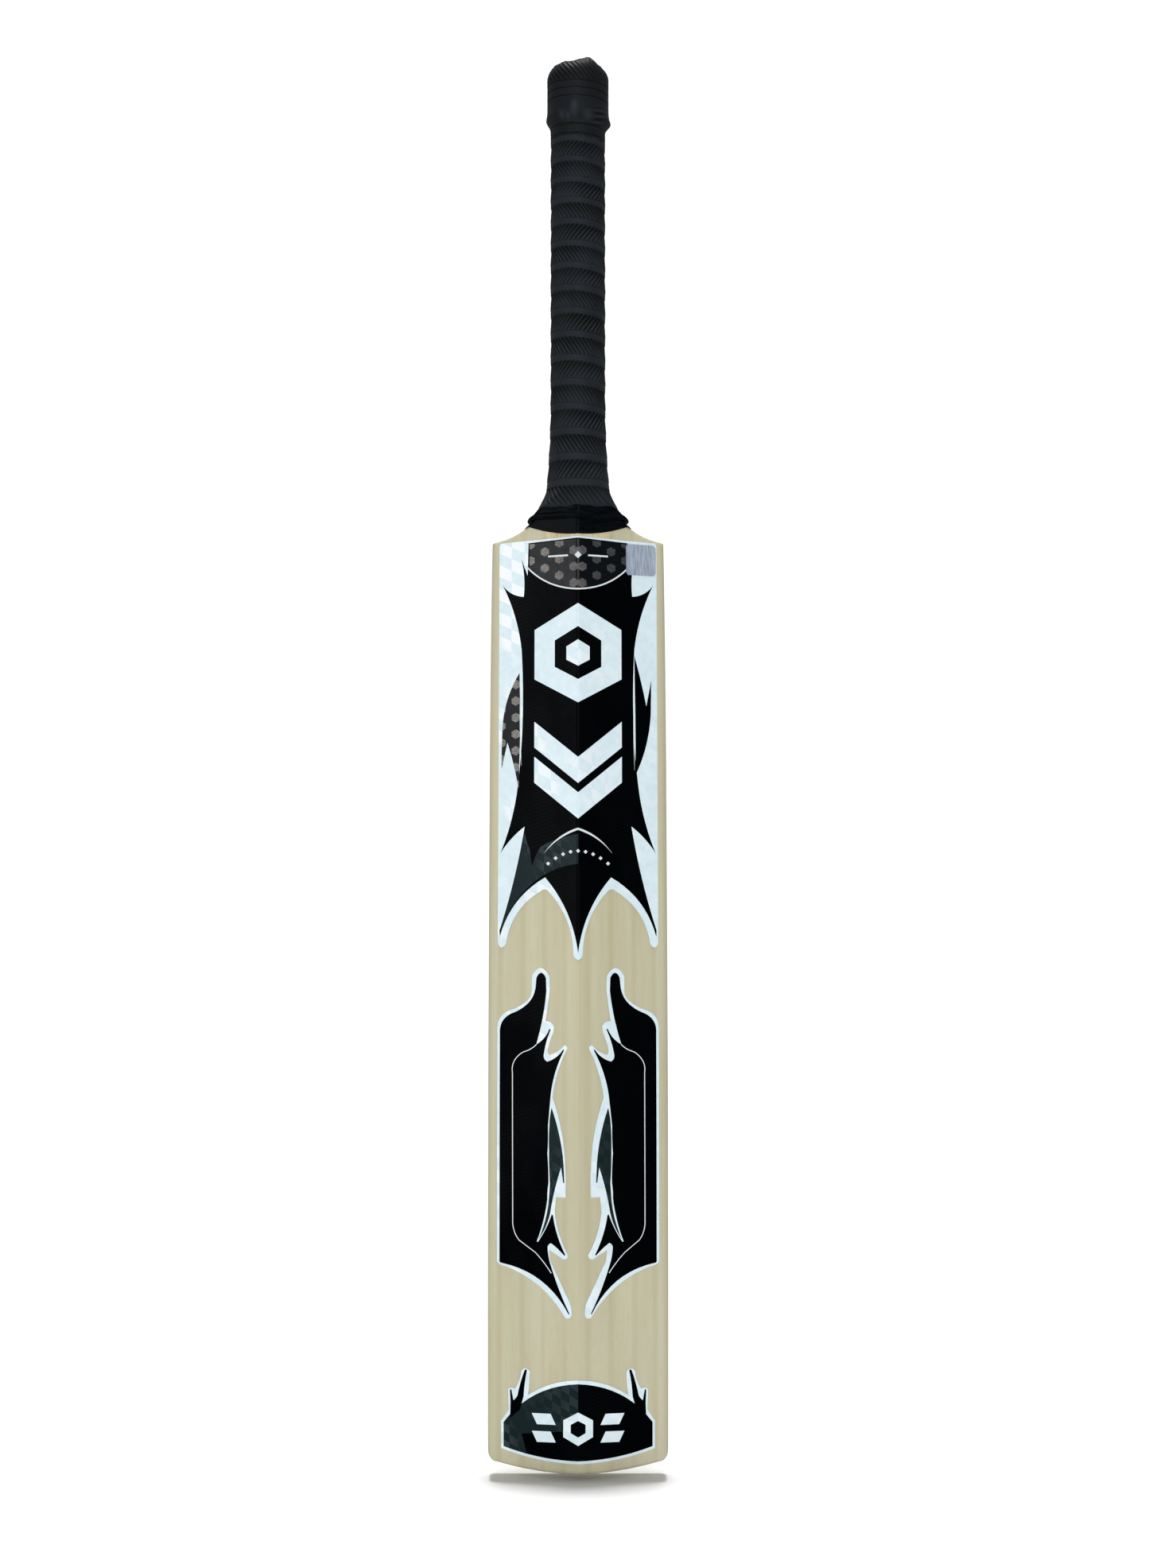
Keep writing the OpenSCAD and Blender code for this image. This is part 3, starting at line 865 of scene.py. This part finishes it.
class Paint:
    """A node material built round one Principled shader."""

    def __init__(self, name, **inputs):
        self.material = bpy.data.materials.new(name)
        self.material.use_nodes = True
        self.nodes = self.material.node_tree.nodes
        self.shader = self.nodes["Principled BSDF"]
        for socket, value in inputs.items():
            self.shader.inputs[socket.replace("_", " ")].default_value = value

    def link(self, source, target):
        self.material.node_tree.links.new(source, target)

    def node(self, kind, settings=None, **inputs):
        made = self.nodes.new("ShaderNode" + kind)
        for key, value in (settings or {}).items():
            setattr(made, key, value)
        for key, value in inputs.items():
            self.feed(made.inputs[key.replace("_", " ")], value)
        return made

    def feed(self, socket, value):
        if isinstance(value, bpy.types.NodeSocket):
            self.link(value, socket)
        else:
            socket.default_value = value

    def position(self, scale=(1, 1, 1), turn=(0, 0, 0)):
        coordinates = self.node("TexCoord")
        mapping = self.node("Mapping", Scale=scale, Rotation=turn)
        self.link(coordinates.outputs["Object"], mapping.inputs["Vector"])
        return mapping.outputs["Vector"]

    def noise(self, scale=(1, 1, 1), size=1.0, detail=2.0, roughness=0.5, distortion=0.0):
        made = self.node("TexNoise", Vector=self.position(scale), Scale=size, Detail=detail,
                         Roughness=roughness, Distortion=distortion)
        return made.outputs["Fac"]

    def ramp(self, value, low, high, start=0.0, end=1.0):
        made = self.node("MapRange", {"clamp": True}, Value=value)
        made.inputs["From Min"].default_value = low
        made.inputs["From Max"].default_value = high
        made.inputs["To Min"].default_value = start
        made.inputs["To Max"].default_value = end
        return made.outputs["Result"]

    def math(self, operation, a, b=0.0):
        made = self.nodes.new("ShaderNodeMath")
        made.operation = operation
        self.feed(made.inputs[0], a)
        self.feed(made.inputs[1], b)
        return made.outputs[0]

    def mix(self, amount, a, b, blend="MIX"):
        made = self.nodes.new("ShaderNodeMix")
        made.data_type = "RGBA"
        made.blend_type = blend
        self.feed(made.inputs["Factor"], amount)
        self.feed(made.inputs[6], a)
        self.feed(made.inputs[7], b)
        return made.outputs[2]

    def bump(self, height, distance, strength=1.0):
        made = self.node("Bump", Strength=strength, Distance=distance)
        self.link(height, made.inputs["Height"])
        previous = self.shader.inputs["Normal"]
        if previous.is_linked:
            self.link(previous.links[0].from_socket, made.inputs["Normal"])
        self.link(made.outputs["Normal"], previous)


def rgb(red, green, blue):
    """A linear colour from the 0 to 255 values of a screen."""
    def linear(v):
        v /= 255
        return v / 12.92 if v <= 0.04045 else ((v + 0.055) / 1.055) ** 2.4
    return (linear(red), linear(green), linear(blue), 1.0)


def willow():
    """Pale straight-grained willow under a clear satin finish."""
    p = Paint("willow", Roughness=0.42, Coat_Weight=0.25, Coat_Roughness=0.3)
    bend = p.noise((6, 6, 1.2), 1.0, 1.0)
    grain = p.node("TexWave", {"bands_direction": "X", "wave_profile": "SIN"},
                   Vector=p.position((1, 0.25, 0.012)), Scale=24.0, Distortion=2.4, Detail=2.0)
    grain.inputs["Detail Scale"].default_value = 1.2
    line = p.ramp(grain.outputs["Fac"], 0.72, 1.0)
    soft = p.noise((60, 30, 2.5), 1.0, 3.0, 0.55)
    fibre = p.noise((900, 900, 22), 1.0, 3.0, 0.6)
    cloud = p.noise((14, 14, 7), 1.0, 2.0, 0.5)
    base = p.mix(p.ramp(soft, 0.3, 0.7), rgb(201, 197, 167), rgb(187, 181, 148))
    base = p.mix(p.ramp(cloud, 0.35, 0.7, 0, 0.5), base, rgb(199, 195, 170))
    base = p.mix(p.math("MULTIPLY", line, 0.24), base, rgb(172, 158, 118))
    base = p.mix(p.ramp(fibre, 0.5, 0.8, 0, 0.35), base, rgb(178, 168, 132))
    stain = p.ramp(p.noise((70, 40, 5), 1.0, 2.0, 0.6), 0.66, 0.78, 0, 0.35)
    base = p.mix(stain, base, rgb(188, 164, 116))
    p.link(base, p.shader.inputs["Base Color"])
    p.link(p.ramp(bend, 0.3, 0.7, 0.38, 0.5), p.shader.inputs["Roughness"])
    p.bump(fibre, 0.00006, 0.5)
    return p.material


def handle_cane():
    """Straw-coloured cane: fine dark vessels along its length."""
    p = Paint("cane", Roughness=0.5)
    fibre = p.noise((1400, 1400, 14), 1.0, 3.0, 0.6)
    tone = p.noise((90, 90, 3), 1.0, 2.0)
    base = p.mix(p.ramp(tone, 0.35, 0.65), rgb(214, 200, 164), rgb(198, 180, 138))
    base = p.mix(p.ramp(fibre, 0.52, 0.72, 0, 0.6), base, rgb(150, 122, 80))
    p.link(base, p.shader.inputs["Base Color"])
    p.bump(fibre, 0.0001, 0.6)
    return p.material


def dull_rubber(name, tint, painted_relief_shading=False):
    """Matt moulded rubber with a dusty bloom and a fine grain; on request, painted shade in its
    grooves and a painted highlight on its raised ribs.
    """
    p = Paint(name, Roughness=0.55, Sheen_Weight=0.05, Sheen_Roughness=0.5)
    p.shader.inputs["Specular IOR Level"].default_value = 0.17
    bloom = p.noise((70, 70, 30), 1.0, 4.0, 0.6)
    grain = p.noise((2600, 2600, 2600), 1.0, 2.0, 0.5)
    darker = tuple(0.62 * c for c in tint[:3]) + (1.0,)
    base = p.mix(p.ramp(bloom, 0.35, 0.65), darker, tint)
    if painted_relief_shading:
        relief = p.node("Attribute", {"attribute_name": "relief"}).outputs["Fac"]
        # Painted shade: where the relief sinks into a groove, the colour goes almost black,
        # standing in for shadow.
        base = p.mix(p.ramp(relief, 0.15, -0.35), base, rgb(7, 8, 9))
        # Painted highlight: the raised ribs are painted lighter and bluer, standing in for light
        # on their tops.
        base = p.mix(p.ramp(relief, 0.1, 0.6, 0, 0.45), base, rgb(45, 52, 58))
    p.link(base, p.shader.inputs["Base Color"])
    p.link(p.ramp(bloom, 0.3, 0.75, 0.45, 0.62), p.shader.inputs["Roughness"])
    p.bump(grain, 0.00008, 0.5)
    return p.material


def twine():
    """Waxed thread wound in close turns."""
    p = Paint("twine", Roughness=0.6)
    turns = p.node("TexWave", {"bands_direction": "Z", "wave_profile": "SIN"},
                   Vector=p.position(), Scale=160.0, Distortion=0.3)
    fuzz = p.noise((3000, 3000, 3000), 1.0, 2.0)
    # Painted shade: the colour darkens between the turns, in step with their bump, standing in for
    # shade in the grooves.
    base = p.mix(turns.outputs["Fac"], rgb(120, 104, 74), rgb(206, 192, 156))
    base = p.mix(p.ramp(fuzz, 0.3, 0.8, 0, 0.3), base, rgb(160, 145, 110))
    p.link(base, p.shader.inputs["Base Color"])
    p.bump(turns.outputs["Fac"], 0.0004, 0.8)
    return p.material


def black_tape():
    """Glossy vinyl tape with slight stretch marks."""
    p = Paint("tape", Roughness=0.14)
    p.shader.inputs["Specular IOR Level"].default_value = 0.035
    stretch = p.noise((120, 120, 500), 1.0, 3.0, 0.6)
    base = p.mix(p.ramp(stretch, 0.3, 0.7), rgb(4, 6, 8), rgb(13, 17, 20))
    p.link(base, p.shader.inputs["Base Color"])
    p.link(p.ramp(stretch, 0.35, 0.75, 0.1, 0.26), p.shader.inputs["Roughness"])
    p.bump(stretch, 0.00015, 0.35)
    return p.material


def vinyl(name, tint, gloss=0.16, roughness=0.2):
    """Printed vinyl under a clear film, slightly uneven."""
    p = Paint(name, Roughness=roughness)
    p.shader.inputs["Specular IOR Level"].default_value = gloss
    mottle = p.noise((240, 240, 240), 1.0, 3.0, 0.6)
    shade = tuple(0.9 * c for c in tint[:3]) + (1.0,)
    p.link(p.mix(p.ramp(mottle, 0.3, 0.7), shade, tint), p.shader.inputs["Base Color"])
    p.link(p.ramp(mottle, 0.3, 0.75, roughness * 0.8, roughness * 1.4),
           p.shader.inputs["Roughness"])
    p.bump(mottle, 0.00003, 0.4)
    return p


def prism(p, shine, size, thin, amount):
    """Adds a prismatic print to vinyl: slanted patches of a brighter film, with painted
    reflection: they are strongest on the left, where the light falls, and fade towards the right."""
    place_at = p.node("TexCoord").outputs["Object"]
    split = p.node("SeparateXYZ", Vector=place_at)
    across = p.math("MULTIPLY", split.outputs["X"], 1000 / size)
    skew = p.math("MULTIPLY", across, 0.58)
    up = p.math("ADD", p.math("MULTIPLY", split.outputs["Z"], 1000 / (size * thin)), skew)
    grid = p.node("CombineXYZ", X=across, Y=up)
    cells = p.node("TexChecker", Vector=grid.outputs[0], Scale=1.0)
    cells.inputs["Color1"].default_value = (1, 1, 1, 1)
    cells.inputs["Color2"].default_value = (0, 0, 0, 1)
    patches = p.ramp(p.noise((38, 38, 20), 1.0, 1.0), 0.45, 0.6)
    # Painted reflection: the patches are painted at full strength on the left and fade to a
    # quarter towards the right, as if light from the left falls on the film.
    side = p.ramp(split.outputs["X"], -0.045, 0.02, amount, 0.25 * amount)
    show = p.math("MULTIPLY", p.math("MULTIPLY", cells.outputs["Fac"], patches), side)
    tint = p.shader.inputs["Base Color"].links[0].from_socket
    p.link(p.mix(show, tint, shine), p.shader.inputs["Base Color"])
    return p


def spot_foil():
    """Faceted foil spots: pale on the left, where they catch the light, dim elsewhere."""
    p = Paint("print_spot", Metallic=0.4, Roughness=0.45)
    facet = p.node("TexVoronoi", {"feature": "F1"}, Vector=p.position(), Scale=1300.0)
    tone = p.ramp(facet.outputs["Distance"], 0.1, 0.6)
    place_at = p.node("SeparateXYZ", Vector=p.position())
    # Painted reflection: the spots are painted pale on the left, as if light falls on them there,
    # and dim on the right.
    left = p.ramp(place_at.outputs["X"], -0.02, 0.01, 1, 0)
    base = p.mix(tone, p.mix(left, rgb(104, 100, 106), rgb(186, 180, 172)),
                 p.mix(left, rgb(60, 60, 66), rgb(124, 122, 120)))
    p.link(base, p.shader.inputs["Base Color"])
    p.link(p.ramp(tone, 0, 1, 0.35, 0.6), p.shader.inputs["Roughness"])
    p.bump(facet.outputs["Distance"], 0.0002, 0.6)
    return p.material


def seal_foil():
    """Silver-blue foil, finely brushed up and down."""
    p = Paint("foil", Metallic=0.35, Roughness=0.32)
    brushed = p.noise((2600, 400, 90), 1.0, 3.0, 0.6)
    sweep = p.noise((90, 30, 60), 1.0, 2.0)
    base = p.mix(p.ramp(brushed, 0.35, 0.65), rgb(140, 158, 184), rgb(206, 216, 230))
    base = p.mix(p.ramp(sweep, 0.5, 0.75, 0, 0.6), base, rgb(214, 220, 232))
    p.link(base, p.shader.inputs["Base Color"])
    p.link(p.ramp(brushed, 0.3, 0.7, 0.25, 0.45), p.shader.inputs["Roughness"])
    p.bump(brushed, 0.00004, 0.5)
    return p.material


def paint_node(name, material):
    """Gives a CAD node its finished material."""
    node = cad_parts[name]
    node.data.materials.clear()
    node.data.materials.append(material)


# ---- camera, light and floor ----

def aim(thing, target):
    thing.rotation_euler = (Vector(target) - thing.location).to_track_quat("-Z", "Y").to_euler()


def add_camera():
    """Stands low behind the back of the bat and looks slightly up at it."""
    data = bpy.data.cameras.new("camera")
    data.sensor_fit = "VERTICAL"
    data.sensor_height = 24.0
    data.lens = 31.9
    camera = bpy.data.objects.new("camera", data)
    bpy.context.scene.collection.objects.link(camera)
    camera.location = (-0.0021, -1.25, TOE + 0.316)
    camera.rotation_euler = (math.radians(90 + 4.07), 0, 0)
    bpy.context.scene.camera = camera


def add_panel(name, location, target, size, watts, tint=(1, 1, 1)):
    """A rectangular soft light."""
    data = bpy.data.lights.new(name, "AREA")
    data.shape = "RECTANGLE"
    data.size, data.size_y = size
    data.energy = watts
    data.color = tint
    lamp = bpy.data.objects.new(name, data)
    bpy.context.scene.collection.objects.link(lamp)
    lamp.location = location
    aim(lamp, target)


def add_world():
    """A white room to the camera. It lights the bat evenly, but reflections see it dimly,
    so that glossy black stays deep apart from the lamps."""
    world = bpy.data.worlds.new("studio")
    bpy.context.scene.world = world
    world.use_nodes = True
    nodes, links = world.node_tree.nodes, world.node_tree.links
    nodes.clear()

    def shade(strength):
        made = nodes.new("ShaderNodeBackground")
        made.inputs["Color"].default_value = (1, 1, 1, 1)
        made.inputs["Strength"].default_value = strength
        return made

    def choose(ray, otherwise, chosen):
        made = nodes.new("ShaderNodeMixShader")
        links.new(path.outputs[ray], made.inputs[0])
        links.new(otherwise.outputs[0], made.inputs[1])
        links.new(chosen.outputs[0], made.inputs[2])
        return made

    path = nodes.new("ShaderNodeLightPath")
    reflected = choose("Is Glossy Ray", shade(0.3), shade(0.06))
    output = nodes.new("ShaderNodeOutputWorld")
    links.new(choose("Is Camera Ray", reflected, shade(1.1)).outputs[0], output.inputs["Surface"])


def add_floor():
    """A plain white floor just under the toe, which hangs clear of it."""
    clearance = 0.005
    half = 3.0
    z = TOE - clearance
    mesh = bpy.data.meshes.new("floor")
    mesh.from_pydata([(-half, -half, z), (half, -half, z), (half, half, z), (-half, half, z)],
                     [], [(0, 1, 2, 3)])
    p = Paint("floor", Base_Color=(0.95, 0.95, 0.95, 1), Roughness=0.9)
    p.shader.inputs["Specular IOR Level"].default_value = 0.0
    mesh.materials.append(p.material)
    floor = bpy.data.objects.new("floor", mesh)
    bpy.context.scene.collection.objects.link(floor)
    floor.visible_glossy = False


def add_overhead():
    """Light from straight above, which keeps the floor white and puts the bat's soft shadow
    right under it."""
    data = bpy.data.lights.new("overhead", "SUN")
    data.energy = 3.0
    data.angle = math.radians(14)
    lamp = bpy.data.objects.new("overhead", data)
    bpy.context.scene.collection.objects.link(lamp)


def light_scene():
    middle = (0, 0, TOE + 0.43)
    add_panel("front_fill", (0.3, -2.4, TOE + 0.9), middle, (1.6, 1.2), 9)
    add_panel("left_soft", (-1.65, -1.9, TOE + 0.75), middle, (0.7, 2.0), 9)
    add_panel("key_lamp", (-0.02, -2.3, TOE + 1.5), middle, (0.1, 0.1), 4)
    add_overhead()
    add_world()


# ---- the bat ----

def label_paints():
    """The labels' materials, in the order of PALE to SPOT."""
    pale = prism(vinyl("print_pale", rgb(219, 237, 244), 0.3), rgb(250, 252, 253), 8.0, 0.9, 0.7)
    black = prism(vinyl("print_black", rgb(2, 3, 5), 0.03), rgb(70, 76, 80), 1.6, 0.7, 0.05)
    grey = prism(vinyl("print_grey", rgb(24, 37, 40), 0.1), rgb(72, 84, 87), 5.0, 1.0, 0.4)
    dark = vinyl("print_dark", rgb(10, 16, 20), 0.25)
    line = vinyl("print_line", rgb(222, 230, 233))
    return [p.material for p in (pale, black, grey, dark, line)] + [spot_foil()]


def build():
    add_camera()
    light_scene()
    add_floor()
    bpy.context.scene.view_settings.view_transform = "Standard"

    cane, rubber, thread = handle_cane(), dull_rubber("spring_rubber", rgb(38, 40, 42)), twine()
    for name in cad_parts:
        if name.startswith("cane_"):
            paint_node(name, cane)
        elif name.startswith("spring_strip_"):
            paint_node(name, rubber)
    paint_node("twine_binding", thread)
    paint_node("top_sleeve", rubber)

    make_blade(willow())
    make_grip(dull_rubber("grip_rubber", rgb(25, 31, 37), painted_relief_shading=True))
    tape = black_tape()
    make_grip_end_tape(tape)
    make_collar_tape(tape)

    paints = label_paints()
    side = curve(SIDE_LABEL)
    make_label("label_main", "back_sticker", curve(MAIN_LABEL), main_art(), paints)
    make_label("label_side_right", "side_sticker_right", side, side_art(1), paints)
    make_label("label_side_left", "side_sticker_left", flipped(side),
               [(tint, flipped(shape)) for tint, shape in side_art(-1)], paints)
    make_label("label_toe", "toe_sticker", curve(TOE_LABEL), toe_art(), paints)
    make_label("label_seal", "seal_sticker", curve(SEAL_LABEL, 5), [], [seal_foil()],
               STICKER)


build()
